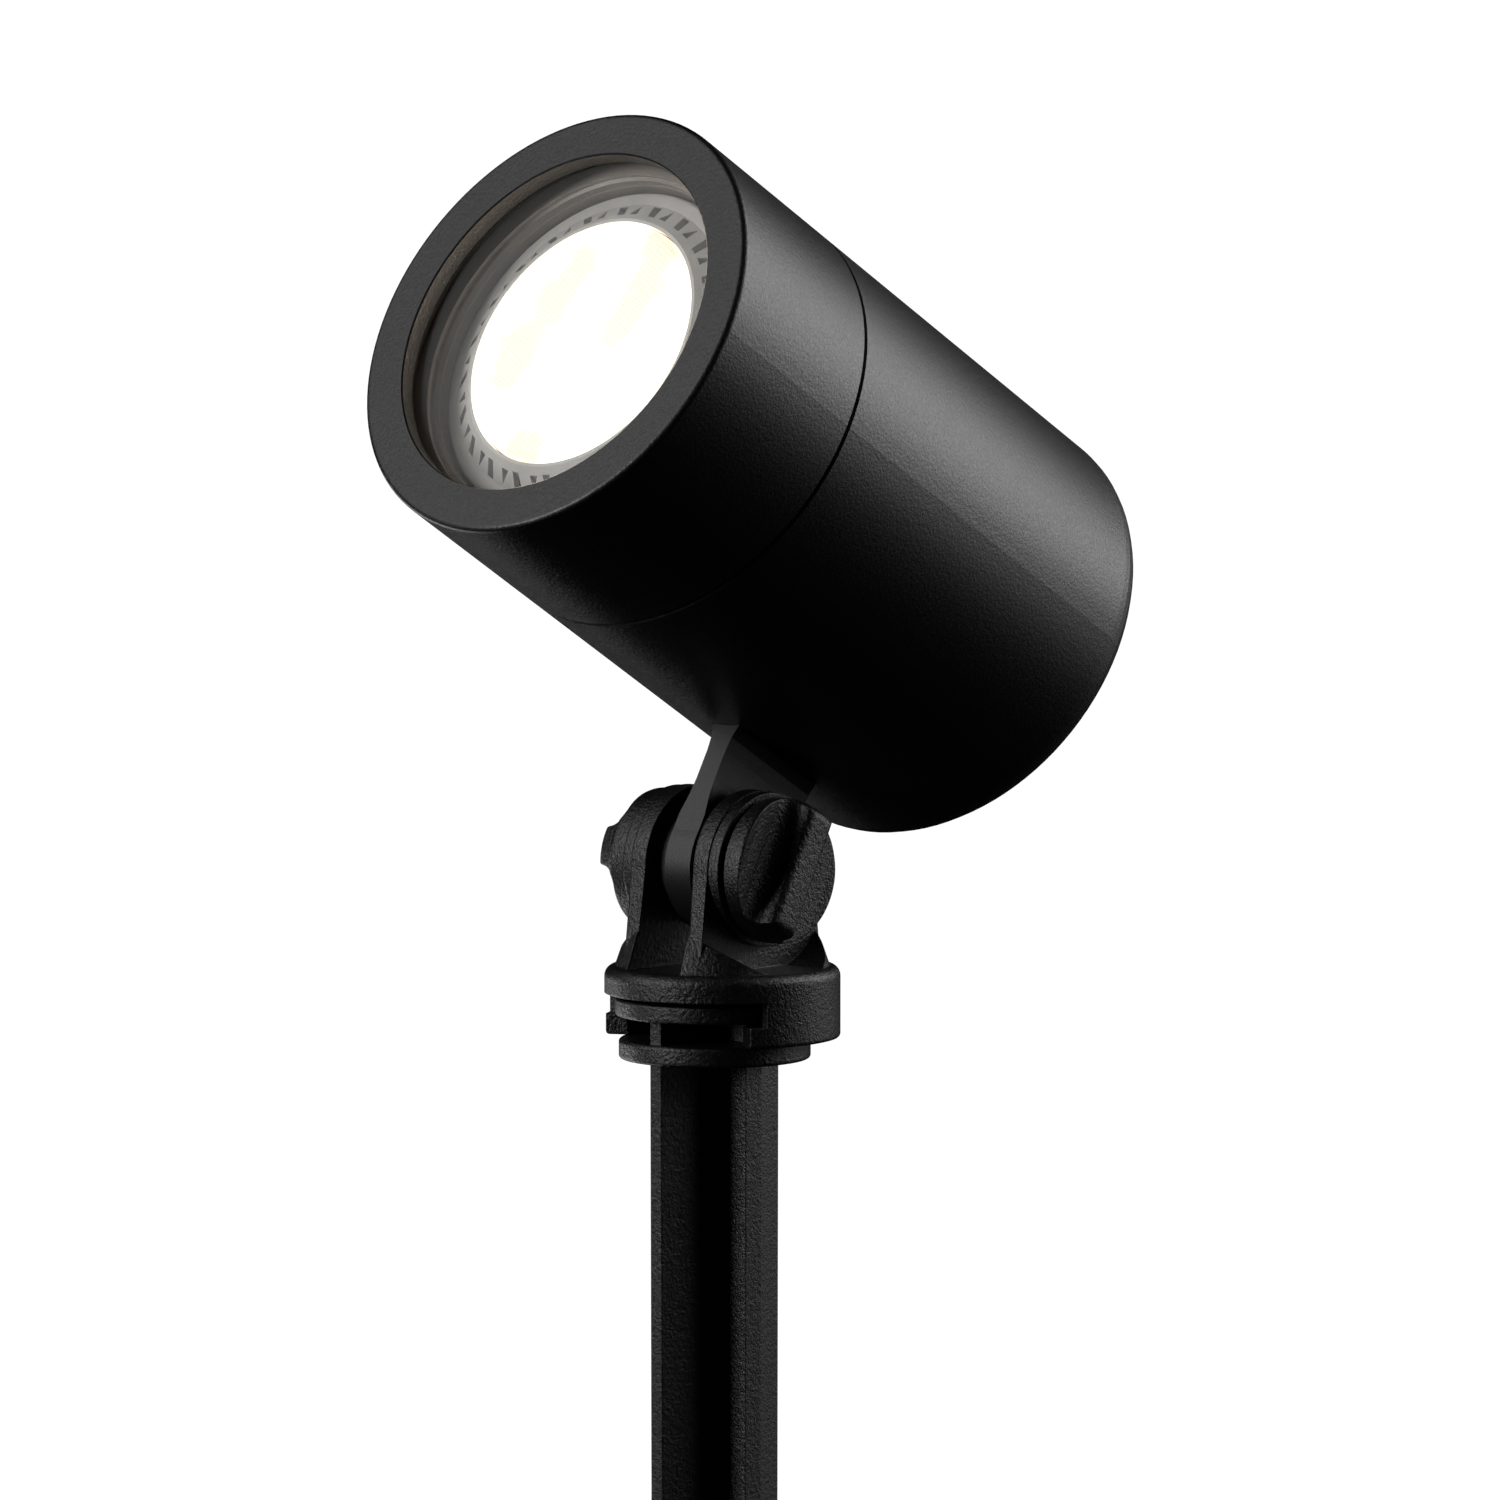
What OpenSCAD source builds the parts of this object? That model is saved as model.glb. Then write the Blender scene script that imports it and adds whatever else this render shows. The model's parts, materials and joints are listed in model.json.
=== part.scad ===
// Garden light projector on a ground stake. A tube-shaped head holds a reflector lamp behind glass.
// The head tilts between the two ears of a moulded knuckle, and the knuckle pans on top of the stake.
// Millimetres, +Z up. The origin is on the stake's axis at the underside of its flange, which is the
// ground line. The lamp shines towards -Y and upwards.

/* [Head] */
// Outer diameter of the head
head_d = 65; // [63:0.5:68]
// Length of the head from the front face to the back
head_len = 103.1; // [98:0.1:110]
// Distance from the front face to the joint between barrel and housing
seam_depth = 28.5; // [27:0.5:31]
// Diameter of the opening in the front face
opening_d = 52; // [51:0.5:54]
// Wall thickness of the housing
wall = 2.6; // [2.2:0.1:3]
// Length of the rounding at the back edge, along the head
back_round_len = 10.4; // [8:0.2:14]
// Depth of the rounding at the back edge, across the head
back_round_side = 20; // [14:0.5:24]

/* [Aim] */
// Angle of the beam above the horizontal
beam_tilt = 30.3; // [0:0.1:60]
// Height of the tilt bolt above the ground line
pivot_z = 27; // [26.5:0.1:30]
// Distance of the tilt bolt behind the stake's axis
pivot_y = 1.6; // [1:0.1:2.5]
// Distance of the tilt bolt behind the front face, along the head
pivot_back = 69; // [66:0.5:72]
// Distance of the tilt bolt below the head's axis
pivot_drop = 49.9; // [48:0.1:54]

/* [Lamp] */
// Outer diameter of the reflector lamp
lamp_d = 49.6; // [48:0.1:50]
// Diameter of the lamp's lens
lens_d = 37.4; // [35:0.1:38]
// Distance of the lens behind the front face
lens_depth = 6.4; // [6.2:0.1:7]
// Number of pairs of vents around the lens
vent_pairs = 22; // [12:1:26]

/* [Tilt bracket] */
// Width of the bracket plate along the head
tab_w = 18.6; // [18:0.1:20]
// Thickness of the bracket plate at its eye and at its root
tab_t = 4.76; // [4:0.02:5]
// Thickness of the bracket plate half way up
tab_waist = 3.4; // [3:0.1:4]

/* [Knuckle] */
// Width of the slot between the two ears, from the bolt upwards
slot_w = 9.1; // [8.8:0.1:9.6]
// Radius of the rounded top of each ear
ear_r = 11; // [10.8:0.1:12]
// Distance from the middle to the outside of each ear
ear_out = 7.2; // [6.6:0.1:7.4]
// Radius of the round boss on each ear
boss_r = 10.8; // [10.5:0.1:11.5]
// Distance from the middle to the face of each boss
boss_out = 9; // [8.6:0.1:9.1]
// Radius of the cap on which the ears stand
cap_r = 16.6; // [16:0.1:17.5]

/* [Knobs] */
// Radius of each knob
knob_r = 10.2; // [9:0.1:10.5]
// Distance from the middle to the inner face of each knob
knob_in = 9.3; // [9.3:0.1:9.6]
// Distance from the middle to the outside of each thumb bar
knob_out = 15.6; // [15:0.1:17]
// Width of the thumb bar
bar_w = 5.6; // [4.5:0.1:6.5]
// Lean of the clamp knob's bar behind the vertical
clamp_knob_lean = 28; // [0:1:180]
// Rise of the nut knob's bar towards the front
nut_knob_rise = 16; // [0:1:180]

/* [Stake] */
// Length of the blade below the ground line
spike_len = 220; // [150:5:260]
// Length of the point at the end of the blade
tip_len = 66; // [40:1:90]
// Reach of the two wide wings, along Y
wing_reach = 12.2; // [11.5:0.1:12.3]
// Reach of the two narrow wings, along X
rib_reach = 7.5; // [6:0.1:9]
// Radius of the flange at the ground line
flange_r = 13.5; // [13:0.1:14]

/* [Hidden] */

$fn = 96;
eps = 0.01;
small_fn = 40;

// Radii and depths of the head. A depth is a distance behind the front face.
head_r = head_d / 2;
bore_r = head_r - wall;
lip = 2.4;
gasket_t = 0.5;
glass_t = 2.8;
glass_r = head_r - 4;
glass_back = lip + gasket_t + glass_t;
sleeve_r = opening_d / 2 - 0.7;
sleeve_back = 14;
spigot_r = head_r - 3.1;
spigot_bore = head_r - 5.6;
spigot_front = 17;
seal_depth = seam_depth - 2;
seam_gap = 0.15;
edge_r = 0.8;
seal_r = 0.9;
groove_r = spigot_r - 1.5;
slot_clear = 0.1;

// Inside fittings
pad_in = bore_r - 2.4;
pad_front = pivot_back - 16;
pad_back = pivot_back + 16;
foot_t = 2.4;
screw_reach = 12.5;
plate_depth = 72.3;
plate_t = 1.2;
post_x = 26.4;
post_r = 3.6;
lamp_r = lamp_d / 2;
lens_r = lens_d / 2;
bezel_in = lens_r + 0.15;
rim_depth = lens_depth + 2.2;
base_front = 41;
base_back = 53.6;
pin_len = 7;
pin_pitch = 10;
holder_front = 54;
holder_r = 14;
gland_r = 5;
gland_hex = 12;
cable_r = 3.5;

// Knuckle heights and the stake's head
cap_top = 13;
cap_under = 9.2;
skirt_foot = 2.86;
lip_top = 5.8;
wall_window = 70;
lip_window = 61;
slot_splay = 0.45;
washer_r = 8.6;
disc_r = 14;
disc_foot = 6.1;
disc_top = 8.6;
flange_t = 2.8;
cone_top = 19;
scoop_r = 15;
bolt_r = 2.5;
bolt_bore = 2.58;
head_af = 8;
pocket = 2.3;

// Points along an arc of a circle, from angle a0 to a1
function arc(cx, cy, r, a0, a1, n = 6) =
  [for (i = [0:n]) let (a = a0 + (a1 - a0) * i / n) [cx + r * cos(a), cy + r * sin(a)]];

// Quarter of an ellipse that rounds a revolved solid's back edge, as [radius, height] points
function back_edge(r, depth, side, along, n = 14) =
  [for (i = [0:n]) let (a = 90 * i / n) [r - side + side * sin(a), -depth + along - along * cos(a)]];

// The same points in the opposite order
function reversed(points) = [for (i = [len(points) - 1:-1:0]) points[i]];

// Moves its children from the head's own frame to the part's frame. In the head's frame the front
// face is at z = 0, the beam runs along +z, and +y points away from the bracket.
module on_head() {
  translate([0, pivot_y, pivot_z]) rotate([90 - beam_tilt, 0, 0])
    translate([0, pivot_drop, pivot_back]) children();
}

// Moves its children to the tilt bolt
module on_pivot() {
  translate([0, pivot_y, pivot_z]) children();
}

// Disc about the head's axis between two depths
module disc(r, front, back) {
  translate([0, 0, -back]) cylinder(r = r, h = back - front);
}

// Ring about the head's axis between two depths
module ring(r_out, r_in, front, back) {
  difference() {
    disc(r_out, front, back);
    disc(r_in, front - eps, back + eps);
  }
}

// Round bar along X between two distances from the middle
module x_bar(r, from, to) {
  translate([from, 0, 0]) rotate([0, 90, 0]) cylinder(r = r, h = to - from);
}

// Regular hexagon prism along Z, by its width across flats
module hex_prism(flats, h) {
  rotate(30) cylinder(r = flats / sqrt(3), h = h, $fn = 6);
}

// Screw with a round head. Its head's underside is at z = 0 and its shank runs down.
module pan_screw(r, len, head_r = 2.8, head_h = 1.8) {
  difference() {
    union() {
      cylinder(r = head_r, h = head_h, $fn = small_fn);
      translate([0, 0, -len]) cylinder(r = r, h = len + eps, $fn = small_fn);
    }
    for (a = [0, 90]) rotate(a) translate([-head_r * 0.6, -0.35, head_h * 0.4])
      cube([head_r * 1.2, 0.7, head_h]);
  }
}

// --- Stake ---

module blade_section() {
  root = 3;
  tip = 1;
  half = 1.7;
  polygon([[root, half], [tip, wing_reach], [-tip, wing_reach], [-root, half],
    [-rib_reach, half], [-rib_reach, -half], [-root, -half],
    [-tip, -wing_reach], [tip, -wing_reach], [root, -half], [rib_reach, -half], [rib_reach, half]]);
}

// Outline of the blade in a plane through its axis, for wings that reach the given distance
module blade_outline(reach) {
  taper = 0.5;
  point = 0.6;
  polygon([[reach + 1, disc_foot], [reach, 0], [reach - taper, -spike_len + tip_len],
    [point, -spike_len], [-point, -spike_len],
    [-reach + taper, -spike_len + tip_len], [-reach, 0], [-reach - 1, disc_foot]]);
}

module blade() {
  wide = 2 * wing_reach + 4;
  intersection() {
    translate([0, 0, -spike_len]) linear_extrude(spike_len + disc_foot + eps) blade_section();
    rotate([90, 0, 0]) translate([0, 0, -wide / 2]) linear_extrude(wide) blade_outline(rib_reach);
    rotate([90, 0, 90]) translate([0, 0, -wide / 2]) linear_extrude(wide) blade_outline(wing_reach);
  }
}

// Round plate with softened edges
module soft_plate(r, h, edge) {
  rotate_extrude() polygon(concat([[0, 0]], arc(r - edge, edge, edge, -90, 0, 4),
    arc(r - edge, h - edge, edge, 0, 90, 4), [[0, h]]));
}

module spike() {
  color("#17181a") union() {
    blade();
    soft_plate(flange_r, flange_t, 0.5);
    translate([0, 0, disc_foot]) soft_plate(disc_r, disc_top - disc_foot, 0.4);
  }
}

// --- Knuckle ---

module ears() {
  base_half = ear_r + 1.7;
  rise = pivot_z - cap_top + 1;
  on_pivot() rotate([90, 0, 90]) translate([0, 0, -ear_out]) linear_extrude(2 * ear_out) union() {
    circle(r = ear_r);
    polygon([[-ear_r, 0], [ear_r, 0], [base_half, -rise], [-base_half, -rise]]);
  }
}

module shoulder() {
  low = 15.1;
  top = 12.9;
  translate([0, pivot_y, 0]) rotate_extrude() polygon(concat([[0, cap_top - 1], [low + 0.3, cap_top - 1]],
    [[low, cap_top], [top + 0.6, cone_top - 1.4], [top, cone_top - 0.5], [0, cone_top - 0.5]]));
}

// Plate with a rounded top edge, and the skirt around the stake's disc
module cap_and_skirt() {
  edge = 1.5;
  foot_edge = 0.5;
  translate([0, pivot_y, 0]) rotate_extrude() polygon(concat([[0, skirt_foot]],
    arc(cap_r - foot_edge, skirt_foot + foot_edge, foot_edge, -90, 0, 3),
    arc(cap_r - edge, cap_top - edge, edge, 0, 90, 6), [[0, cap_top]]));
}

// Wedge that opens the skirt towards -Y between two heights
module skirt_window(half_angle, low, high) {
  reach = 40;
  translate([0, 0, low]) linear_extrude(high - low)
    polygon([[0, 0], [-reach * sin(half_angle), -reach * cos(half_angle)], [-reach, -reach],
      [reach, -reach], [reach * sin(half_angle), -reach * cos(half_angle)]]);
}

// Slot between the ears, a little wider at its floor
module ear_slot() {
  half = slot_w / 2;
  translate([0, 30, 0]) rotate([90, 0, 0]) linear_extrude(60)
    polygon([[-half - slot_splay, cap_top], [half + slot_splay, cap_top], [half, pivot_z],
      [half, 60], [-half, 60], [-half, pivot_z]]);
}

module knuckle() {
  pocket_r = disc_r + 0.4;
  neck_r = wing_reach + 0.4;
  scoop_w = 20;
  color("#17181a") difference() {
    union() {
      ears();
      difference() {
        shoulder();
        on_pivot() for (side = [-1, 1]) translate([side * (ear_out + scoop_w / 2), 0, 0])
          x_bar(scoop_r, -scoop_w / 2, scoop_w / 2);
      }
      on_pivot() x_bar(boss_r, -boss_out, boss_out);
      cap_and_skirt();
    }
    ear_slot();
    on_pivot() x_bar(bolt_bore, -20, 20);
    translate([0, 0, lip_top]) cylinder(r = pocket_r, h = cap_under - lip_top);
    translate([0, 0, skirt_foot - 1]) cylinder(r = neck_r, h = lip_top - skirt_foot + 1 + eps);
    skirt_window(wall_window, lip_top - eps, cap_under);
    skirt_window(lip_window, -1, lip_top);
  }
}

module tilt_washers() {
  gap = 0.05;
  thick = (slot_w - tab_t) / 2 - 2 * gap;
  teeth = 24;
  color("#26262a") on_pivot() for (side = [-1, 1]) {
    near = side > 0 ? tab_t / 2 + gap : -slot_w / 2 + gap;
    difference() {
      x_bar(washer_r, near, near + thick);
      x_bar(bolt_bore + 0.02, near - 1, near + thick + 1);
      for (i = [0:teeth - 1]) rotate([i * 360 / teeth, 0, 0])
        translate([side > 0 ? near + thick - 0.4 : near - 0.1, 5.5, -0.3]) cube([0.5, 5, 0.6]);
    }
  }
}

// --- Clamp ---

module pivot_bolt() {
  head_from = 9.5;
  head_t = 2;
  far_end = -11.6;
  color("#b9bcc0") on_pivot() union() {
    x_bar(bolt_r, far_end, head_from + eps);
    rotate([-clamp_knob_lean, 0, 0]) translate([head_from, 0, 0]) rotate([0, 90, 0])
      hex_prism(head_af, head_t);
  }
}

// Cross-section of a knob across its thumb bar, as [across, outward] points: shallow dishes on
// both sides of the bar, concave blends up to it, and a rounded top
function bar_section(half_w, top, floor_x, rim_x) = let (
    blend = 2.6, crown = 1.5,
    right = concat([[half_w * 4, rim_x]], [[half_w * 3, floor_x + 0.15]],
      arc(half_w + blend, floor_x + blend - 0.2, blend, 270, 180, 8),
      arc(half_w - crown, top - crown, crown, 0, 90, 6)))
  concat(right, [for (p = reversed(right)) [-p[0], p[1]]]);

// Knob on +X with its bar along Z
module knob_body() {
  disc_face = 12;
  rim_face = 12.9;
  edge = 1.2;
  intersection() {
    rotate([0, 90, 0]) rotate_extrude() polygon(concat([[0, knob_in], [knob_r - 0.3, knob_in],
      [knob_r, knob_in + 0.3]], arc(knob_r - edge, rim_face - edge, edge, 0, 50, 4),
      arc(knob_r - 2.4, knob_out - 1.6, 1.6, 25, 90, 5), [[0, knob_out]]));
    translate([0, 0, -knob_r]) linear_extrude(2 * knob_r)
      polygon(concat([for (p = bar_section(bar_w / 2, knob_out, disc_face, rim_face)) [p[1], p[0]]],
        [[knob_in, -bar_w * 2], [knob_in, bar_w * 2]]));
  }
}

module clamp_knob() {
  color("#17181a") on_pivot() rotate([-clamp_knob_lean, 0, 0]) difference() {
    knob_body();
    translate([knob_in - eps, 0, 0]) rotate([0, 90, 0]) hex_prism(head_af + 0.2, pocket);
  }
}

module nut_knob() {
  color("#17181a") on_pivot() rotate([90 - nut_knob_rise, 0, 0]) mirror([1, 0, 0]) difference() {
    knob_body();
    translate([knob_in - eps, 0, 0]) rotate([0, 90, 0]) hex_prism(head_af + 0.2, pocket + 0.1);
  }
}

module knob_nut() {
  color("#b08d4a") on_pivot() rotate([90 - nut_knob_rise, 0, 0]) mirror([1, 0, 0]) difference() {
    translate([9.5, 0, 0]) rotate([0, 90, 0]) hex_prism(head_af, 2.1);
    x_bar(bolt_bore, 9, 12);
  }
}

// --- Tilt bracket ---

// Side view of the bracket, in the head's frame: [across the head, along the head]
module bracket_side() {
  eye_r = tab_w / 2 + 0.05;
  translate([-pivot_drop, -pivot_back]) circle(r = eye_r);
  translate([-pivot_drop, -pivot_back - tab_w / 2]) square([pivot_drop - pad_in + eps, tab_w]);
}

// End view of the bracket: [across the plate, across the head]. It is thick around the bolt, thins
// above it and flares again where it meets the head.
module bracket_end() {
  half = tab_t / 2;
  waist = tab_waist / 2;
  right = [[half, -pivot_drop - 12], [half, -pivot_drop + 3.5], [waist + 0.15, -pivot_drop + 6.5],
    [waist, -pivot_drop + 9], [waist, -head_r - 4], [waist + 0.2, -head_r - 1.8],
    [half, -head_r - 0.1], [half, -pad_in + eps]];
  polygon(concat(right, [for (p = reversed(right)) [-p[0], p[1]]]));
}

module tilt_bracket() {
  foot_w = 11;
  foot_len = 2 * screw_reach + 6.4;
  color("#3a3c40") on_head() difference() {
    union() {
      intersection() {
        rotate([90, 0, 90]) translate([0, 0, -5]) linear_extrude(10) bracket_side();
        translate([0, 0, -pad_back]) linear_extrude(pad_back - pad_front) bracket_end();
      }
      translate([-foot_w / 2, -pad_in, -pivot_back - foot_len / 2]) cube([foot_w, foot_t, foot_len]);
    }
    translate([0, -pivot_drop, -pivot_back]) x_bar(bolt_bore, -10, 10);
    for (side = [-1, 1]) translate([0, -pad_in - 1, -pivot_back + side * screw_reach])
      rotate([-90, 0, 0]) cylinder(r = 1.7, h = foot_t + 2, $fn = small_fn);
  }
}

module bracket_screws() {
  color("#b9bcc0") on_head() for (side = [-1, 1])
    translate([0, -pad_in + foot_t, -pivot_back + side * screw_reach]) rotate([-90, 0, 0])
      pan_screw(1.45, 6);
}

// --- Head shells ---

module rear_housing() {
  inner_len = head_len - 3.2;
  front = seam_depth + seam_gap;
  groove_w = 2;
  thread_pitch = 1.5;
  thread_turns = 4;
  thread_dip = 0.4;
  groove_front = seal_depth - groove_w / 2;
  post_back = 90;
  hole_r = 1.5;
  color("#1b1c1e") on_head() difference() {
    union() {
      rotate_extrude($fn = 128) polygon(concat(
        [[0, -head_len]], back_edge(head_r, head_len, back_round_side, back_round_len),
        [[head_r, -front - 0.3], [head_r - 0.3, -front], [spigot_r, -front],
          [spigot_r, -groove_front - groove_w], [groove_r, -groove_front - groove_w],
          [groove_r, -groove_front], [spigot_r, -groove_front]],
        [for (i = [0:2 * thread_turns - 1])
          [spigot_r - (i % 2) * thread_dip, -groove_front + 0.6 + thread_pitch * (i + 1) / 2]],
        [[spigot_r - thread_dip, -spigot_front], [spigot_bore, -spigot_front],
          [spigot_bore, -front - 4], [bore_r, -front - 7]],
        reversed(back_edge(bore_r, inner_len, back_round_side, back_round_len)),
        [[0, -inner_len]]));
      translate([-8, -bore_r - 0.5, -pad_back]) cube([16, bore_r + 0.5 - pad_in, pad_back - pad_front]);
      for (side = [-1, 1]) translate([side * post_x, 0, -post_back]) {
        cylinder(r = post_r, h = post_back - plate_depth - plate_t);
        translate([side > 0 ? 0 : -4.1, -3.2, 0]) cube([4.1, 6.4, post_back - plate_depth - plate_t]);
      }
    }
    translate([-tab_t / 2 - slot_clear, -head_r - 5, -pivot_back - tab_w / 2 - slot_clear])
      cube([tab_t + 2 * slot_clear, head_r + 6 - pad_in, tab_w + 2 * slot_clear]);
    for (side = [-1, 1]) {
      translate([0, -pad_in + eps, -pivot_back + side * screw_reach]) rotate([90, 0, 0])
        cylinder(r = hole_r, h = 4.2, $fn = small_fn);
      translate([side * post_x, 0, -plate_depth - plate_t - 9]) cylinder(r = hole_r, h = 10, $fn = small_fn);
    }
    disc(gland_r + 0.05, inner_len - 1, head_len + 1);
  }
}

module front_barrel() {
  open_r = opening_d / 2;
  seat_r = glass_r + 0.2;
  thread_bore = spigot_r + 0.3;
  step = sleeve_back + 1;
  color("#1b1c1e") on_head() rotate_extrude($fn = 128) polygon(concat(
    [[open_r, -lip], [open_r, -0.2], [open_r + 0.2, 0]],
    arc(head_r - edge_r, -edge_r, edge_r, 90, 0, 6),
    [[head_r, -seam_depth + 0.3], [head_r - 0.3, -seam_depth], [thread_bore, -seam_depth],
      [thread_bore, -step - 0.6], [seat_r, -step], [seat_r, -lip]]));
}

module barrel_seal() {
  color("#202022") on_head() rotate_extrude($fn = 128)
    translate([groove_r + seal_r - 0.15, -seal_depth]) circle(r = seal_r - 0.15, $fn = 24);
}

module glass_gasket() {
  color("#3c3a38") on_head() ring(glass_r, opening_d / 2 + 0.4, lip + 0.02, lip + gasket_t - 0.02);
}

module front_glass() {
  color("#cfe0e4", 0.35) on_head() disc(glass_r, lip + gasket_t, glass_back - 0.03);
}

// Ring that holds the glass from behind, with a stepped rim
module glass_sleeve() {
  front = glass_back;
  color("#6e655e") on_head() rotate_extrude($fn = 128) polygon([[sleeve_r + 0.6, -front],
    [sleeve_r + 0.6, -front - 0.7], [sleeve_r + 0.1, -front - 0.9], [sleeve_r + 0.1, -front - 2],
    [sleeve_r, -front - 2.2], [sleeve_r, -sleeve_back], [glass_r, -sleeve_back], [glass_r, -front]]);
}

// --- Cable gland ---

module gland_body() {
  flange_t = 2.2;
  inner_end = head_len - 7.5;
  outer_end = head_len + 5.8;
  color("#1d1d1f") on_head() difference() {
    union() {
      disc(gland_r, inner_end, outer_end);
      translate([0, 0, -head_len - 0.05 - flange_t]) hex_prism(gland_hex, flange_t);
    }
    disc(cable_r + 0.3, inner_end - 1, outer_end + 1);
    disc(gland_r - 0.7, outer_end - 2.6, outer_end + 1);
  }
}

module gland_seal() {
  front = head_len + 3.3;
  color("#2a2a2a") on_head() ring(gland_r - 0.8, cable_r + 0.15, front, front + 2.4);
}

module gland_cap() {
  front = head_len + 2.4;
  end = head_len + 9;
  thread_end = end - 2.8;
  outer = 6.8;
  color("#1d1d1f") on_head() difference() {
    rotate_extrude() polygon(concat([[0, -end]], arc(outer - 1.5, -end + 1.5, 1.5, -90, 0, 5),
      [[outer, -front], [0, -front]]));
    disc(gland_r + 0.05, front - 1, thread_end);
    disc(cable_r, thread_end - 1, end + 1);
    for (i = [0:11]) rotate(i * 30) translate([outer, 0, -end + 1.8]) cylinder(r = 0.5, h = 6, $fn = 16);
  }
}

module gland_locknut() {
  back = head_len - 3.3;
  color("#b9bcc0") on_head() difference() {
    translate([0, 0, -back]) hex_prism(13, 2.5);
    disc(gland_r + 0.05, back - 4, back + 1);
  }
}

// --- Lampholder and wiring ---

block_front = plate_depth + plate_t + 0.1;
block_back = block_front + 11.4;
block_y = 15.5;
block_pitch = 8;
lead_r = 1.1;
tag_x = -19;
crimp_x = -14.5;
contact_end = 75;
plate_screw_spots = [[post_x, 0], [-post_x, 0], [4, 19.5]];

module holder_plate() {
  color("#a9adb1") on_head() difference() {
    intersection() {
      disc(bore_r - 0.4, plate_depth, plate_depth + plate_t);
      translate([0, 0, -plate_depth - plate_t]) linear_extrude(plate_t) union() {
        square([70, 14], center = true);
        translate([-12, 0]) square([24, 23]);
      }
    }
    translate([-8, -2.2, -80]) cube([16, 4.4, 20]);
    for (p = plate_screw_spots) translate([p[0], p[1], 0]) disc(1.6, 70, 80);
    for (y = [-7, 7]) translate([0, y, 0]) disc(1.55, 70, 80);
    translate([tag_x, 0, 0]) disc(1.55, 70, 80);
  }
}

module plate_screws() {
  color("#b9bcc0") on_head() for (p = plate_screw_spots)
    translate([p[0], p[1], -plate_depth]) pan_screw(1.45, p[1] > 0 ? 6 : 8);
}

module lampholder() {
  back = plate_depth - 0.1;
  color("#e8e4da") on_head() difference() {
    disc(holder_r, holder_front, back);
    for (side = [-1, 1]) {
      translate([side * pin_pitch / 2, 0, 0]) {
        disc(2.75, holder_front - 1, 63);
        disc(1.2, 62, back + 1);
      }
      translate([0, side * 7, 0]) {
        disc(3, holder_front - 1, holder_front + 3);
        disc(1.55, holder_front, back + 1);
      }
    }
  }
}

module holder_contacts() {
  color("#b08d4a") on_head() for (side = [-1, 1]) translate([side * pin_pitch / 2, 0, 0]) union() {
    disc(2.6, 61, 62.6);
    disc(1, 62, contact_end);
  }
}

module holder_screws() {
  color("#b9bcc0") on_head() for (side = [-1, 1])
    translate([0, side * 7, -holder_front - 3]) pan_screw(1.45, 17.4);
}

module terminal_block() {
  color("#d8d8d4") on_head() difference() {
    translate([-12, 8.5, -block_back]) cube([24, 14, block_back - block_front]);
    for (i = [-1:1]) translate([i * block_pitch, 0, 0]) {
      translate([0, block_y, 0]) disc(1.6, block_front - 1, block_back + 1);
      translate([0, block_y, -block_back + 5]) rotate([-90, 0, 0]) cylinder(r = 1.6, h = 8, $fn = small_fn);
    }
    translate([4, 19.5, 0]) disc(1.5, block_front - 1, block_front + 6);
  }
}

module terminal_screws() {
  color("#b08d4a") on_head() for (i = [-1:1])
    translate([i * block_pitch, block_y + lead_r + 0.3, -block_back + 5]) rotate([-90, 0, 0])
      difference() {
        cylinder(r = 1.5, h = 5.2, $fn = small_fn);
        translate([-1.2, -0.25, 4.4]) cube([2.4, 0.5, 2]);
      }
}

// Insulated wire that runs back from the start, turns round and enters the terminal block
module lead(start, start_depth, end) {
  gap = end - start;
  span = norm(gap);
  turn = block_back + 0.2;
  overlap = 0.05;
  bend_r = lead_r - 0.04;
  translate([start[0], start[1], -turn - overlap])
    cylinder(r = lead_r, h = turn - start_depth + overlap, $fn = small_fn);
  translate([end[0], end[1], -turn - overlap]) cylinder(r = lead_r, h = 4, $fn = small_fn);
  translate([start[0], start[1], -turn]) rotate(atan2(gap[1], gap[0])) translate([span / 2, 0, 0])
    rotate([-90, 0, 0]) rotate_extrude(angle = 180) translate([span / 2, 0])
      circle(r = bend_r, $fn = small_fn);
}

module live_lead() {
  color("#6b3f1f") on_head() lead([-pin_pitch / 2, 0], contact_end + 0.05, [0, block_y]);
}

module neutral_lead() {
  color("#2f5d9c") on_head() lead([pin_pitch / 2, 0], contact_end + 0.05, [block_pitch, block_y]);
}

module earth_lead() {
  color("#5d8a3a") on_head() lead([crimp_x, 0], 79.05, [-block_pitch, block_y]);
}

module earth_tag() {
  front = plate_depth + plate_t + 0.05;
  color("#b08d4a") on_head() difference() {
    union() {
      translate([tag_x, 0, 0]) disc(3.2, front, front + 0.8);
      translate([tag_x, -1.2, -front - 0.8]) cube([4.5, 2.4, 0.8]);
      translate([crimp_x, 0, 0]) disc(1.5, front, 79);
    }
    translate([tag_x, 0, 0]) disc(1.6, front - 1, front + 2);
  }
}

module earth_screw() {
  color("#b9bcc0") on_head() translate([tag_x, 0, -plate_depth - plate_t - 0.9])
    mirror([0, 0, 1]) pan_screw(1.45, 4);
}

// --- Lamp ---

// Slanted openings around the lens: four-sided and three-sided in turn
module vents() {
  low = lens_r + 1.6;
  high = lens_r + 3.6;
  step = 360 / vent_pairs;
  for (i = [0:vent_pairs - 1]) rotate(i * step) {
    polygon([[low, -1.05], [high, -0.35], [high, 1.15], [low, 0.15]]);
    rotate(step / 2) polygon([[low + 0.1, -0.45], [low + 0.1, 0.95], [high, 0.25]]);
  }
}

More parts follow.
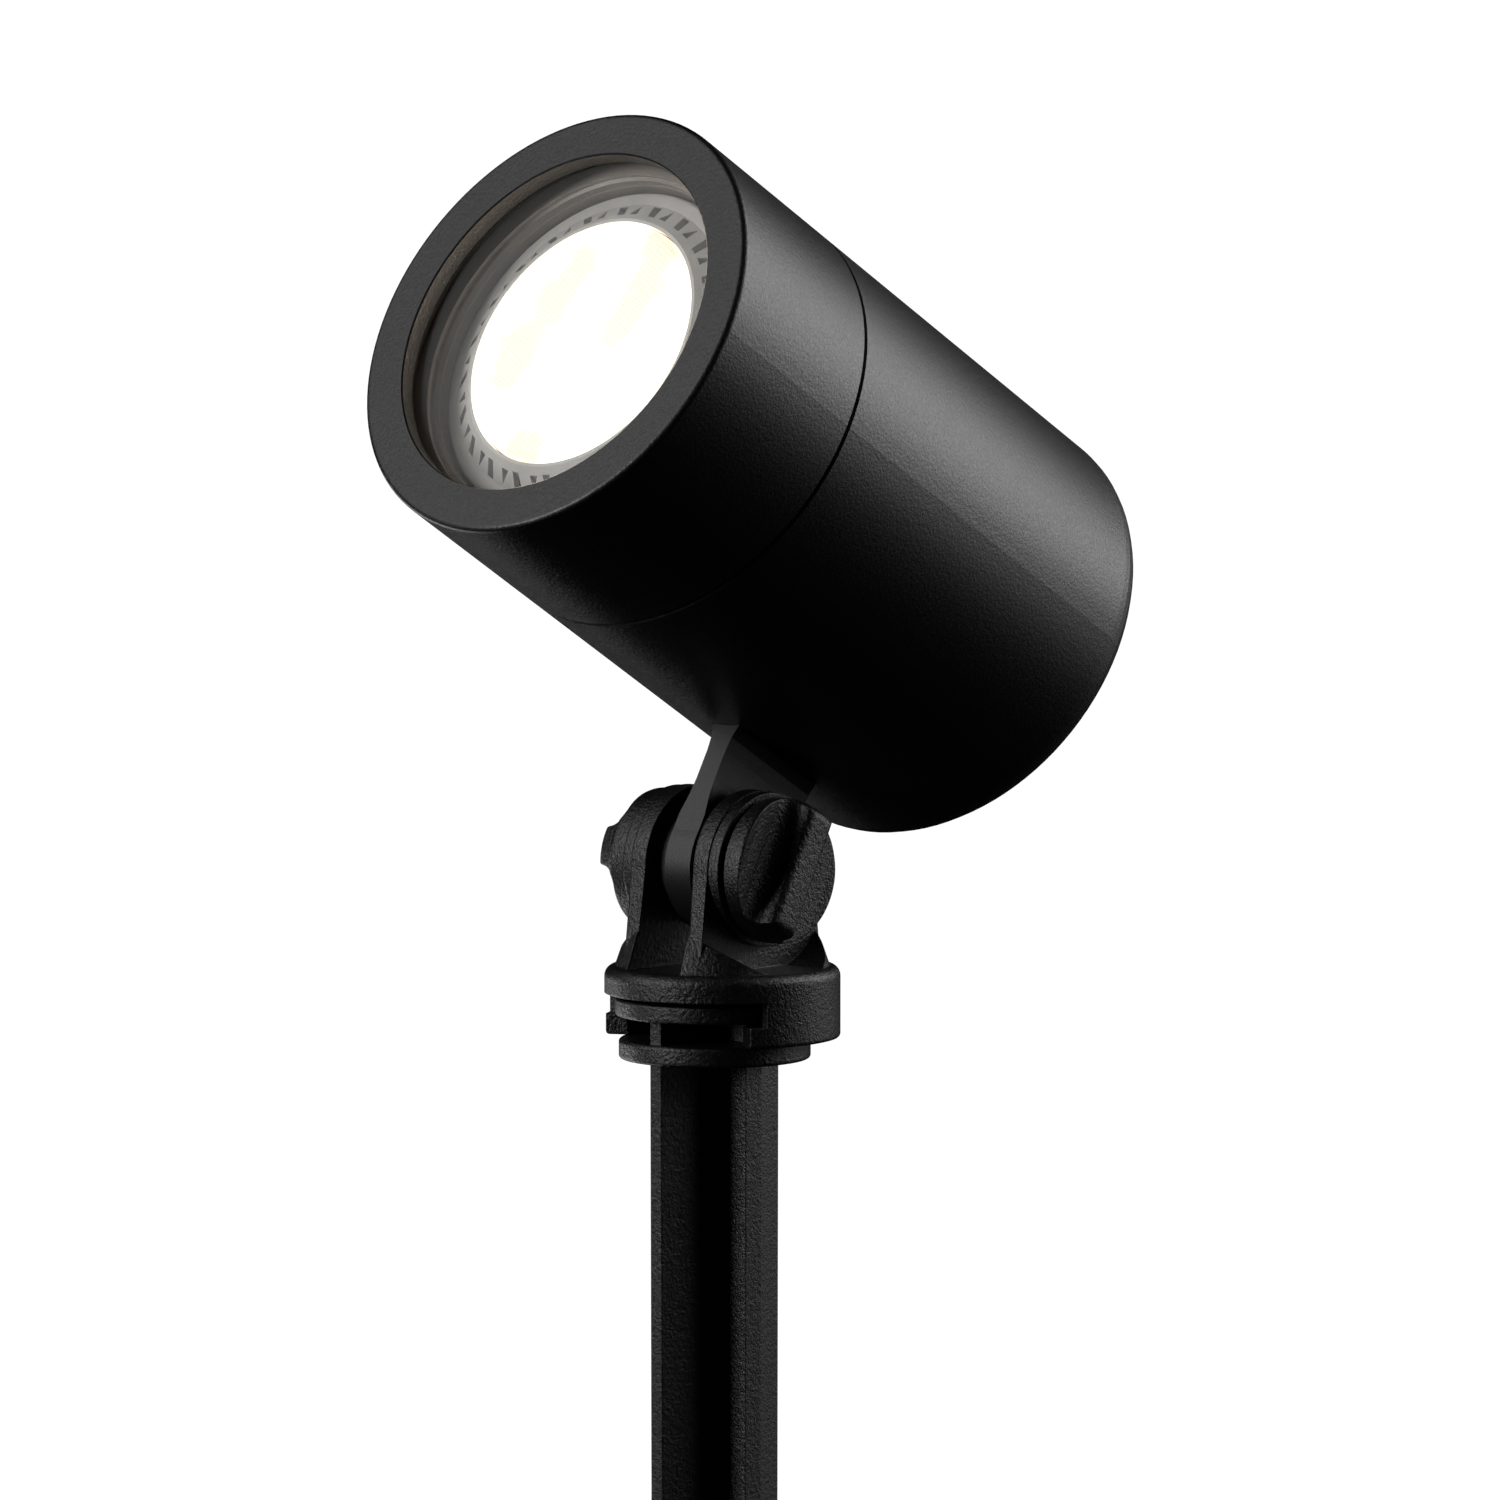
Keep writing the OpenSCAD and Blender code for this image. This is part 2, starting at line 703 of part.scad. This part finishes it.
module lamp_bezel() {
  back = rim_depth + 2.6;
  bend_r = lamp_r - 2.2;
  color("#cfc9c2") on_head() difference() {
    rotate_extrude($fn = 128) polygon(concat(
      [[bezel_in, -lens_depth], [bezel_in + 0.5, -lens_depth], [bend_r, -rim_depth + 0.15]],
      arc(lamp_r - 0.8, -rim_depth - 0.8, 0.8, 90, 0, 5),
      [[lamp_r, -back], [lamp_r - 1.2, -back], [lamp_r - 1.2, -rim_depth - 1.4],
        [bend_r, -rim_depth - 1], [bezel_in, -lens_depth - 1.3]]));
    translate([0, 0, -back]) linear_extrude(back) vents();
  }
}

module lamp_lens() {
  dome = 0.3;
  edge = 0.8;
  color("#fff2cf") on_head() rotate_extrude($fn = 128) polygon(concat(
    [[0, -lens_depth + dome], [lens_r * 0.5, -lens_depth + dome * 0.75]],
    arc(lens_r - edge, -lens_depth - edge, edge, 90, 0, 5),
    [[lens_r, -lens_depth - 2.4], [0, -lens_depth - 2.4]]));
}

module led_board() {
  front = rim_depth + 2.8;
  chip = 3;
  color("#e9e9e6") on_head() union() {
    disc(lens_r - 0.7, front, front + 1.6);
    for (i = [0:6]) rotate(i * 60) translate([i == 0 ? 0 : 11, 0, -front + 0.4])
      cube([chip, chip, 0.8 + 2 * eps], center = true);
  }
}

module lamp_heat_sink() {
  front = rim_depth + 2.7;
  seat = front + 1.75;
  fins = 24;
  fin_t = 1.1;
  envelope = [[0, -seat], [lamp_r - 0.4, -seat], [lamp_r - 0.4, -seat - 4], [15, -base_front], [0, -base_front]];
  color("#c2c4c6") on_head() union() {
    rotate_extrude() polygon([[0, -seat], [20, -seat], [20, -seat - 2], [12.5, -base_front], [0, -base_front]]);
    ring(lamp_r - 0.3, lamp_r - 2.4, front, seat + 2);
    intersection() {
      rotate_extrude() polygon(envelope);
      for (i = [0:fins / 2 - 1]) rotate(i * 360 / fins) translate([-lamp_r, -fin_t / 2, -base_front])
        cube([2 * lamp_r, fin_t, base_front - seat]);
    }
  }
}

module lamp_base() {
  color("#ececea") on_head() rotate_extrude() polygon([[0, -base_front - 0.05],
    [15, -base_front - 0.05], [15, -base_front - 2], [12.4, -base_front - 8], [12.4, -base_back],
    [0, -base_back]]);
}

module lamp_pins() {
  color("#b9bcc0") on_head() for (side = [-1, 1]) translate([side * pin_pitch / 2, 0, 0]) union() {
    disc(1.5, base_back, base_back + pin_len - 1);
    disc(2.4, base_back + pin_len - 2, base_back + pin_len);
  }
}

spike();
knuckle();
tilt_washers();
pivot_bolt();
clamp_knob();
nut_knob();
knob_nut();
tilt_bracket();
bracket_screws();
rear_housing();
gland_body();
gland_seal();
gland_cap();
gland_locknut();
holder_plate();
plate_screws();
lampholder();
holder_contacts();
holder_screws();
terminal_block();
terminal_screws();
live_lead();
neutral_lead();
earth_lead();
earth_tag();
earth_screw();
barrel_seal();
front_barrel();
glass_gasket();
front_glass();
glass_sleeve();
lamp_bezel();
lamp_lens();
led_board();
lamp_heat_sink();
lamp_base();
lamp_pins();
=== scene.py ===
"""Looks of the light projector stake: camera, studio, materials and finely detailed pieces."""

import json
import math

import bmesh
import bpy
from mathutils import Matrix, Vector


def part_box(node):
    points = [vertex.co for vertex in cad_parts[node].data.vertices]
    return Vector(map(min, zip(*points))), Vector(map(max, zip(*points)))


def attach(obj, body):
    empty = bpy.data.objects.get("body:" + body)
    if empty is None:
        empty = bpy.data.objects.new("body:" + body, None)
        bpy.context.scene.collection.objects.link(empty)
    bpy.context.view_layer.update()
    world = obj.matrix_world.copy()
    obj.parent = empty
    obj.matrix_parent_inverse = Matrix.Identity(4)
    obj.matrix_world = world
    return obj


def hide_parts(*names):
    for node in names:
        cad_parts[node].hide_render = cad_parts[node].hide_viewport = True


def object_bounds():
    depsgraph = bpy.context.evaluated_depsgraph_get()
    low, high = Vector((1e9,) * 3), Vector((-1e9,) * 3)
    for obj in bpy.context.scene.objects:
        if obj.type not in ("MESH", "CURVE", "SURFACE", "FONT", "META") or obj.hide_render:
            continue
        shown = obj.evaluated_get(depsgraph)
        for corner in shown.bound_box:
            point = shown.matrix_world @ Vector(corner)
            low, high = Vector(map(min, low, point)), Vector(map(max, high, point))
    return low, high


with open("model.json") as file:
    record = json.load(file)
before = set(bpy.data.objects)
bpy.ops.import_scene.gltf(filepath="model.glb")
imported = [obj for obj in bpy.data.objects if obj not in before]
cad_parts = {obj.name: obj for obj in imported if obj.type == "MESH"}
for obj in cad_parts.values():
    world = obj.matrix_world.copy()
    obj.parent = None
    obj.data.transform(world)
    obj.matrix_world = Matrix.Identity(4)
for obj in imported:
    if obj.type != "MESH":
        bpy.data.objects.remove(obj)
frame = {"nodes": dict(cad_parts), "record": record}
cad_low, cad_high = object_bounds()
MM = 0.001


# --- Camera ---

AZIMUTH = math.radians(42.41)
ELEVATION = math.radians(5.31)
DISTANCE = 1.551
AIM_RIGHT = 4.96 * MM
AIM_UP = 43.16 * MM
LENS = 265.0


def make_camera():
    """Camera at the photograph's angle, aimed a little right of and above the stake's flange."""
    right = Vector((math.cos(AZIMUTH), math.sin(AZIMUTH), 0))
    back = Vector((math.sin(AZIMUTH) * math.cos(ELEVATION), -math.cos(AZIMUTH) * math.cos(ELEVATION),
                   math.sin(ELEVATION)))
    up = back.cross(right)
    data = bpy.data.cameras.new("camera")
    data.lens = LENS
    data.clip_start, data.clip_end = 0.01, 50
    camera = bpy.data.objects.new("camera", data)
    camera.matrix_world = Matrix.Translation(right * AIM_RIGHT + up * AIM_UP + back * DISTANCE) @ Matrix(
        (right, up, back)).transposed().to_4x4()
    bpy.context.collection.objects.link(camera)
    bpy.context.scene.camera = camera
    return right, up, back


view_right, view_up, view_back = make_camera()


# --- The head's own frame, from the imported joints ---

joints = {joint["name"]: joint for joint in frame["record"]["behaviour"]["joints"]}
BEAM = Vector(joints["front_barrel_slide"]["axis"]).normalized()
PIVOT = Vector(joints["head_tilt"]["pos_m"])
HEAD_UP = Vector((1, 0, 0)).cross(-BEAM).normalized()


def middle(node):
    """Middle of a node's box."""
    low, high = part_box(node)
    return (Vector(low) + Vector(high)) / 2


def along_beam(node):
    """Lowest and highest distance of a node's points along the beam, measured from the pivot."""
    mesh = frame["nodes"][node].data
    reach = [(v.co - PIVOT).dot(BEAM) for v in mesh.vertices]
    return min(reach), max(reach)


HEAD_DROP = (middle("front_glass") - PIVOT).dot(HEAD_UP)
FRONT = along_beam("front_barrel")[1]
HEAD_FRAME = Matrix((Vector((1, 0, 0)), HEAD_UP, BEAM)).transposed().to_4x4()
HEAD_FRAME.translation = PIVOT + HEAD_UP * HEAD_DROP + BEAM * FRONT


# --- Node materials ---

class Shader:
    """A new material's node tree, with short calls for the nodes that are used here."""

    def __init__(self, name):
        self.material = bpy.data.materials.new(name)
        self.material.use_nodes = True
        self.tree = self.material.node_tree
        self.tree.nodes.clear()
        self.output = self.add("ShaderNodeOutputMaterial")
        self.place = self.add("ShaderNodeTexCoord").outputs["Object"]

    def add(self, kind, **settings):
        node = self.tree.nodes.new(kind)
        for key, value in settings.items():
            setattr(node, key, value)
        return node

    def link(self, source, target):
        self.tree.links.new(source, target)

    def put(self, socket, value):
        """Links a socket, or sets a plain value."""
        if isinstance(value, bpy.types.NodeSocket):
            self.link(value, socket)
        else:
            socket.default_value = value

    def noise(self, size_mm, detail=2.0, roughness=0.5, stretch=None):
        """Noise with features of about the given size."""
        place = self.place
        if stretch:
            scaled = self.add("ShaderNodeVectorMath", operation="MULTIPLY")
            self.link(place, scaled.inputs[0])
            scaled.inputs[1].default_value = stretch
            place = scaled.outputs[0]
        node = self.add("ShaderNodeTexNoise")
        self.link(place, node.inputs["Vector"])
        node.inputs["Scale"].default_value = 1 / (size_mm * MM)
        node.inputs["Detail"].default_value = detail
        node.inputs["Roughness"].default_value = roughness
        return node.outputs["Fac"]

    def cells(self, size_mm):
        """Distance to the nearest of scattered points about the given size apart."""
        node = self.add("ShaderNodeTexVoronoi")
        self.link(self.place, node.inputs["Vector"])
        node.inputs["Scale"].default_value = 1 / (size_mm * MM)
        return node.outputs["Distance"]

    def remap(self, value, low, high, to_low, to_high):
        """Stretches one range onto another and stops at its ends."""
        node = self.add("ShaderNodeMapRange")
        self.put(node.inputs["Value"], value)
        for name, number in (("From Min", low), ("From Max", high), ("To Min", to_low), ("To Max", to_high)):
            node.inputs[name].default_value = number
        return node.outputs["Result"]

    def math(self, operation, a, b=0.0):
        node = self.add("ShaderNodeMath", operation=operation)
        self.put(node.inputs[0], a)
        self.put(node.inputs[1], b)
        return node.outputs[0]

    def mix(self, factor, a, b):
        """Blend from colour a to colour b."""
        node = self.add("ShaderNodeMix", data_type="RGBA")
        self.put(node.inputs["Factor"], factor)
        self.put(node.inputs[6], a if isinstance(a, bpy.types.NodeSocket) else (*a, 1))
        self.put(node.inputs[7], b if isinstance(b, bpy.types.NodeSocket) else (*b, 1))
        return node.outputs[2]

    def bump(self, height, depth_mm, under=None):
        """Normal bent by a height from 0 to 1, on top of another normal if one is given."""
        node = self.add("ShaderNodeBump")
        self.put(node.inputs["Height"], height)
        node.inputs["Distance"].default_value = depth_mm * MM
        node.inputs["Strength"].default_value = 1.0
        if under is not None:
            self.link(under, node.inputs["Normal"])
        return node.outputs["Normal"]

    def soft_edges(self, radius_mm):
        """Normal that rounds sharp edges by the given radius."""
        node = self.add("ShaderNodeBevel", samples=6)
        node.inputs["Radius"].default_value = radius_mm * MM
        return node.outputs["Normal"]

    def lattice(self, pitch_mm):
        """Hexagonal lattice of round dots in the local XY plane, from about -1.5 to 3."""
        total = 0.0
        for degrees in (0, 60, 120):
            across = self.add("ShaderNodeVectorMath", operation="DOT_PRODUCT")
            self.link(self.place, across.inputs[0])
            turn = 2 * math.pi / (pitch_mm * MM * math.cos(math.radians(30)))
            across.inputs[1].default_value = (turn * math.cos(math.radians(degrees)),
                                              turn * math.sin(math.radians(degrees)), 0)
            total = self.math("ADD", self.math("COSINE", across.outputs["Value"]), total)
        return total

    def principled(self, colour, roughness, normal=None, **sockets):
        """Principled shader on the material's output. Other plain values go by socket name."""
        node = self.add("ShaderNodeBsdfPrincipled")
        self.put(node.inputs["Base Color"],
                 colour if isinstance(colour, bpy.types.NodeSocket) else (*colour, 1))
        self.put(node.inputs["Roughness"], roughness)
        if normal is not None:
            self.link(normal, node.inputs["Normal"])
        for name, value in sockets.items():
            node.inputs[name.replace("_", " ")].default_value = value
        self.link(node.outputs[0], self.output.inputs["Surface"])
        return node


def powder_coat(name, dark, light, roughness, grain_mm, depth_mm):
    """Baked powder paint: a fine pebbled skin with slow changes of tone."""
    s = Shader(name)
    slow = s.noise(14, 3)
    grain = s.noise(grain_mm, 2.5, 0.6)
    pebbles = s.cells(grain_mm * 1.6)
    tone = s.mix(s.remap(slow, 0.3, 0.7, 0, 1), dark, light)
    speck = s.mix(s.remap(grain, 0.62, 0.78, 0, 0.5), tone, tuple(2.5 * c for c in light))
    height = s.math("ADD", s.math("MULTIPLY", pebbles, 0.6), grain)
    s.principled(speck, s.remap(grain, 0.3, 0.7, roughness - 0.06, roughness + 0.08),
                 s.bump(height, depth_mm))
    return s.material


def moulded(name, dark, light, roughness, grain_mm, depth_mm):
    """Injection-moulded plastic from a spark-eroded tool: coarse sparkling grain."""
    s = Shader(name)
    slow = s.noise(9, 3)
    coarse = s.noise(grain_mm * 1.8, 2, 0.55)
    fine = s.noise(grain_mm, 3, 0.65)
    tone = s.mix(s.remap(slow, 0.3, 0.7, 0, 1), dark, light)
    speck = s.mix(s.remap(fine, 0.58, 0.72, 0, 0.7), tone, tuple(3.0 * c for c in light))
    height = s.math("ADD", coarse, fine)
    s.principled(speck, s.remap(fine, 0.3, 0.7, roughness - 0.1, roughness + 0.1),
                 s.bump(height, depth_mm, under=s.soft_edges(0.35)))
    return s.material


def metal(name, colour, roughness):
    """Bare metal with drawn scratches and dull patches."""
    s = Shader(name)
    scratch = s.noise(0.5, 3, 0.6, stretch=(1, 1, 0.08))
    patch = s.noise(5, 3)
    tone = s.mix(s.remap(patch, 0.3, 0.7, 0, 1), tuple(0.75 * c for c in colour), colour)
    s.principled(tone, s.remap(scratch, 0.3, 0.7, roughness - 0.08, roughness + 0.12),
                 s.bump(scratch, 0.02), Metallic=1.0)
    return s.material


def plain_skin(name, colour, roughness, grain_mm=0.6, depth_mm=0.02):
    """Smooth plastic, rubber or ceramic with faint mottling and grain."""
    s = Shader(name)
    slow = s.noise(6, 3)
    grain = s.noise(grain_mm, 3)
    tone = s.mix(s.remap(slow, 0.3, 0.7, 0, 1), tuple(0.85 * c for c in colour), colour)
    s.principled(tone, s.remap(grain, 0.3, 0.7, roughness - 0.05, roughness + 0.05),
                 s.bump(grain, depth_mm))
    return s.material


def clear_glass(name):
    """Thin clear glass: what is behind shows through, with a weak reflection."""
    s = Shader(name)
    smear = s.noise(9, 2)
    s.principled((0.9, 0.95, 0.95), s.remap(smear, 0.3, 0.7, 0.02, 0.06), Alpha=0.06)
    return s.material


# Middles of the lens's dimmer patches and hottest spots, in millimetres from its middle
DIM_PATCHES = ((-7.3, 6.4), (-4.0, 11.5), (7.4, 8.2), (7.2, 2.9), (-10.7, -1.0), (-10.4, -6.3),
               (-2.6, -17.1), (7.8, 15.4))
HOT_SPOTS = ((-0.4, 7.9), (0.4, 14.2), (12.3, 2.5), (-3.2, -5.3), (10.0, -9.4), (-9.5, -10.6), (5.9, -15.8))


# How far each kind of spot reaches, and how it changes the lens's heat
DIM_REACH, DIM_CHANGE = 5.2, -0.75
HOT_REACH, HOT_CHANGE = 6.5, 0.55
PLAIN_HEAT = 0.42
LENS_DOT_PITCH = 0.78
# Strength of the light that the lens throws on the parts around it
LENS_LIGHT = 5.0
# The lens's side wall is dark below the first height and bright above the second, from the front face
LENS_DARK_BELOW, LENS_BRIGHT_ABOVE = -7.6, -7.2


def lens_glow(name):
    """Glowing lens: white-hot in places, warm and dotted in its dimmer patches."""
    s = Shader(name)
    flat = s.add("ShaderNodeVectorMath", operation="MULTIPLY")
    s.link(s.place, flat.inputs[0])
    flat.inputs[1].default_value = (1, 1, 0)
    heat = PLAIN_HEAT
    for spots, reach, change in ((DIM_PATCHES, DIM_REACH, DIM_CHANGE), (HOT_SPOTS, HOT_REACH, HOT_CHANGE)):
        for x, y in spots:
            away = s.add("ShaderNodeVectorMath", operation="DISTANCE")
            s.link(flat.outputs[0], away.inputs[0])
            away.inputs[1].default_value = (x * MM, y * MM, 0)
            heat = s.math("ADD", s.remap(away.outputs["Value"], 0, reach * MM, change, 0), heat)
    dots = s.remap(s.lattice(LENS_DOT_PITCH), -1.0, 2.2, 0, 1)
    flicker = s.remap(s.noise(2.4, 3), 0.3, 0.7, -0.12, 0.12)
    warm = s.mix(dots, (0.72, 0.47, 0.29), (1.0, 0.82, 0.62))
    level = s.math("ADD", heat, flicker)
    colour = s.mix(s.remap(level, 0.15, 0.6, 0, 1), warm, (1.0, 0.94, 0.84))
    node = s.principled((1.0, 0.95, 0.85), 0.3, s.bump(dots, 0.12))
    s.link(colour, node.inputs["Emission Color"])
    seen = s.remap(level, 0.05, 0.8, 0.74, 1.25)
    direct = s.add("ShaderNodeLightPath").outputs["Is Camera Ray"]
    height = s.add("ShaderNodeSeparateXYZ")
    s.link(s.place, height.inputs[0])
    inside = s.add("ShaderNodeNewGeometry").outputs["Backfacing"]
    front_only = s.math("MULTIPLY", s.remap(inside, 0, 1, 1, 0),
                        s.remap(height.outputs["Z"], LENS_DARK_BELOW * MM, LENS_BRIGHT_ABOVE * MM, 0, 1))
    strength = s.math("ADD", s.math("MULTIPLY", seen, direct), s.remap(direct, 0, 1, LENS_LIGHT, 0))
    s.link(s.math("MULTIPLY", strength, front_only), node.inputs["Emission Strength"])
    return s.material


MATERIALS = {
    "head_coat": powder_coat("head_coat", (0.0022, 0.0022, 0.0025), (0.0034, 0.0034, 0.0038),
                             0.40, 0.34, 0.035),
    "moulded_black": moulded("moulded_black", (0.0016, 0.0018, 0.0018), (0.0026, 0.0028, 0.0028),
                             0.36, 0.36, 0.13),
    "bracket_cast": plain_skin("bracket_cast", (0.008, 0.0082, 0.009), 0.4, 0.3, 0.02),
    "black_rubber": plain_skin("black_rubber", (0.012, 0.012, 0.013), 0.8),
    "steel": metal("steel", (0.55, 0.56, 0.58), 0.35),
    "brass": metal("brass", (0.6, 0.44, 0.2), 0.35),
    "gland_plastic": plain_skin("gland_plastic", (0.012, 0.012, 0.013), 0.5, 0.4, 0.04),
    "ceramic": plain_skin("ceramic", (0.75, 0.72, 0.66), 0.55),
    "white_plastic": plain_skin("white_plastic", (0.7, 0.7, 0.68), 0.4),
    "brown_lead": plain_skin("brown_lead", (0.16, 0.06, 0.03), 0.45),
    "blue_lead": plain_skin("blue_lead", (0.04, 0.1, 0.35), 0.45),
    "green_lead": plain_skin("green_lead", (0.15, 0.3, 0.05), 0.45),
    "silicone": plain_skin("silicone", (0.05, 0.045, 0.04), 0.7),
    "clear_glass": clear_glass("clear_glass"),
    "sleeve_alloy": plain_skin("sleeve_alloy", (0.34, 0.29, 0.25), 0.4, 0.5, 0.02),
    "lamp_shell": plain_skin("lamp_shell", (0.62, 0.6, 0.57), 0.45),
    "lamp_lens": lens_glow("lamp_lens"),
    "led_board": plain_skin("led_board", (0.8, 0.8, 0.78), 0.4),
    # The heat sink's near-black colour is painted shade: it makes what shows through the bezel's vents read
    # dark.
    "lamp_sink": plain_skin("lamp_sink", (0.012, 0.012, 0.013), 0.6),
}


def dress_cad_nodes():
    """Gives each CAD node the material of its slot in the record."""
    slots = {part["node"]: part["material_slot"] for part in frame["record"]["subparts"]}
    for node, piece in frame["nodes"].items():
        piece.data.materials.clear()
        piece.data.materials.append(MATERIALS[slots[node]])


dress_cad_nodes()


# --- Finely detailed pieces ---

LENS_RADIUS = (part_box("lamp_lens")[1][0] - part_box("lamp_lens")[0][0]) / 2
LENS_FACE = along_beam("lamp_lens")[1] - FRONT
LENS_EDGE = 0.9 * MM
LENS_DOME = 0.3 * MM
LENS_THICKNESS = 2.4 * MM


def make_lens():
    """Slightly domed lens with a rounded edge."""
    rings, sectors, edge_steps = 40, 144, 6
    mesh = bmesh.new()

    def circle(radius, height):
        points = []
        for i in range(sectors):
            angle = 2 * math.pi * i / sectors
            points.append(mesh.verts.new((radius * math.cos(angle), radius * math.sin(angle), height)))
        return points

    def band(outer, inner):
        for i in range(sectors):
            j = (i + 1) % sectors
            mesh.faces.new((outer[i], outer[j], inner[j], inner[i]))

    previous = circle(LENS_RADIUS, LENS_FACE - LENS_THICKNESS)
    mesh.faces.new(list(reversed(previous)))
    flat = LENS_RADIUS - LENS_EDGE
    rim_height = LENS_FACE - LENS_DOME
    for i in range(edge_steps + 1):
        angle = math.radians(90 * i / edge_steps)
        rim = circle(flat + LENS_EDGE * math.cos(angle), rim_height - LENS_EDGE * (1 - math.sin(angle)))
        band(previous, rim)
        previous = rim
    for i in range(1, rings):
        radius = flat * (1 - i / rings)
        rim = circle(radius, rim_height + LENS_DOME * (1 - (radius / flat) ** 2))
        band(previous, rim)
        previous = rim
    tip = mesh.verts.new((0, 0, LENS_FACE))
    for i in range(sectors):
        mesh.faces.new((previous[i], previous[(i + 1) % sectors], tip))
    data = bpy.data.meshes.new("lens_dome")
    for face in mesh.faces:
        face.smooth = True
    mesh.to_mesh(data)
    mesh.free()
    data.materials.append(MATERIALS["lamp_lens"])
    piece = bpy.data.objects.new("lens_dome", data)
    piece.matrix_world = HEAD_FRAME
    bpy.context.collection.objects.link(piece)
    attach(piece, "head")
    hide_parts("lamp_lens")


make_lens()


# --- Studio ---

# Middle of the lights' aim above the tilt bolt, in metres
FOCUS_RISE = 0.05
# Soft boxes about the focus: metres to the right, up and towards the camera, then size and watts
BOXES = {
    "left_box": ((-1.1, 0.85, 0.1), (0.8, 0.8), 4.0),
    "low_left_box": ((-0.75, -0.55, -0.9), (0.5, 0.9), 5),
    "front_left_box": ((-1.3, 0.25, 0.6), (0.3, 0.7), 10),
}
# Direction, in the view's axes, in which the side of the head that catches the light faces
FLANK = (0.80, 0.19, 0.57)
NEAR_BOX_AHEAD = 0.08
NEAR_BOX_AWAY = 0.42
WIDE_BOX_AWAY = 1.4
ROOM_LIGHT = 0.008
BACKDROP_LIGHT = 1.05
FLOOR_RADIUS = 0.6


def in_view(right, up, back):
    """Vector from parts along the view's own axes."""
    return view_right * right + view_up * up + view_back * back


def area_light(name, place, target, size, power):
    """Rectangular soft light aimed at a point."""
    data = bpy.data.lights.new(name, "AREA")
    data.shape = "RECTANGLE"
    data.size, data.size_y = size
    data.energy = power
    light = bpy.data.objects.new(name, data)
    light.location = place
    light.rotation_euler = (Vector(target) - Vector(place)).to_track_quat("-Z", "Y").to_euler()
    light.visible_camera = False
    bpy.context.collection.objects.link(light)
    return light


def make_studio():
    """White backdrop for the camera, a dim room for reflections, and the soft boxes."""
    scene = bpy.context.scene
    scene.view_settings.view_transform = "Standard"
    world = bpy.data.worlds.new("studio")
    scene.world = world
    world.use_nodes = True
    tree = world.node_tree
    tree.nodes.clear()
    output = tree.nodes.new("ShaderNodeOutputWorld")
    mix = tree.nodes.new("ShaderNodeMixShader")
    path = tree.nodes.new("ShaderNodeLightPath")
    dim = tree.nodes.new("ShaderNodeBackground")
    white = tree.nodes.new("ShaderNodeBackground")
    dim.inputs["Color"].default_value = (1, 1, 1, 1)
    dim.inputs["Strength"].default_value = ROOM_LIGHT
    white.inputs["Color"].default_value = (1, 1, 1, 1)
    white.inputs["Strength"].default_value = BACKDROP_LIGHT
    tree.links.new(path.outputs["Is Camera Ray"], mix.inputs["Fac"])
    tree.links.new(dim.outputs[0], mix.inputs[1])
    tree.links.new(white.outputs[0], mix.inputs[2])
    tree.links.new(mix.outputs[0], output.inputs["Surface"])

    focus = PIVOT + Vector((0, 0, FOCUS_RISE))
    front = HEAD_FRAME.translation
    flank = in_view(*FLANK).normalized()
    mirrored = 2 * flank.dot(view_back) * flank - view_back
    for name, (place, size, power) in BOXES.items():
        area_light(name, focus + in_view(*place), focus, size, power)
    near = front + BEAM * NEAR_BOX_AHEAD + mirrored * NEAR_BOX_AWAY
    area_light("flank_box", near, front, (0.24, 0.3), 0.9)
    area_light("wide_box", focus + mirrored * WIDE_BOX_AWAY, focus, (1.5, 1.5), 4.0)


def make_floor():
    """Pale round floor under the stake's tip."""
    corners = 96
    mesh = bpy.data.meshes.new("floor")
    angles = [2 * math.pi * i / corners for i in range(corners)]
    rim = [(FLOOR_RADIUS * math.cos(a), FLOOR_RADIUS * math.sin(a), 0) for a in angles]
    mesh.from_pydata(rim, [], [range(corners)])
    floor = bpy.data.objects.new("floor", mesh)
    floor.location = (0, 0, cad_low[2])
    bpy.context.collection.objects.link(floor)
    s = Shader("floor")
    s.principled((0.9, 0.9, 0.9), s.remap(s.noise(30), 0.3, 0.7, 0.75, 0.85))
    mesh.materials.append(s.material)
    floor.visible_glossy = False
    floor.visible_diffuse = False


make_studio()
make_floor()
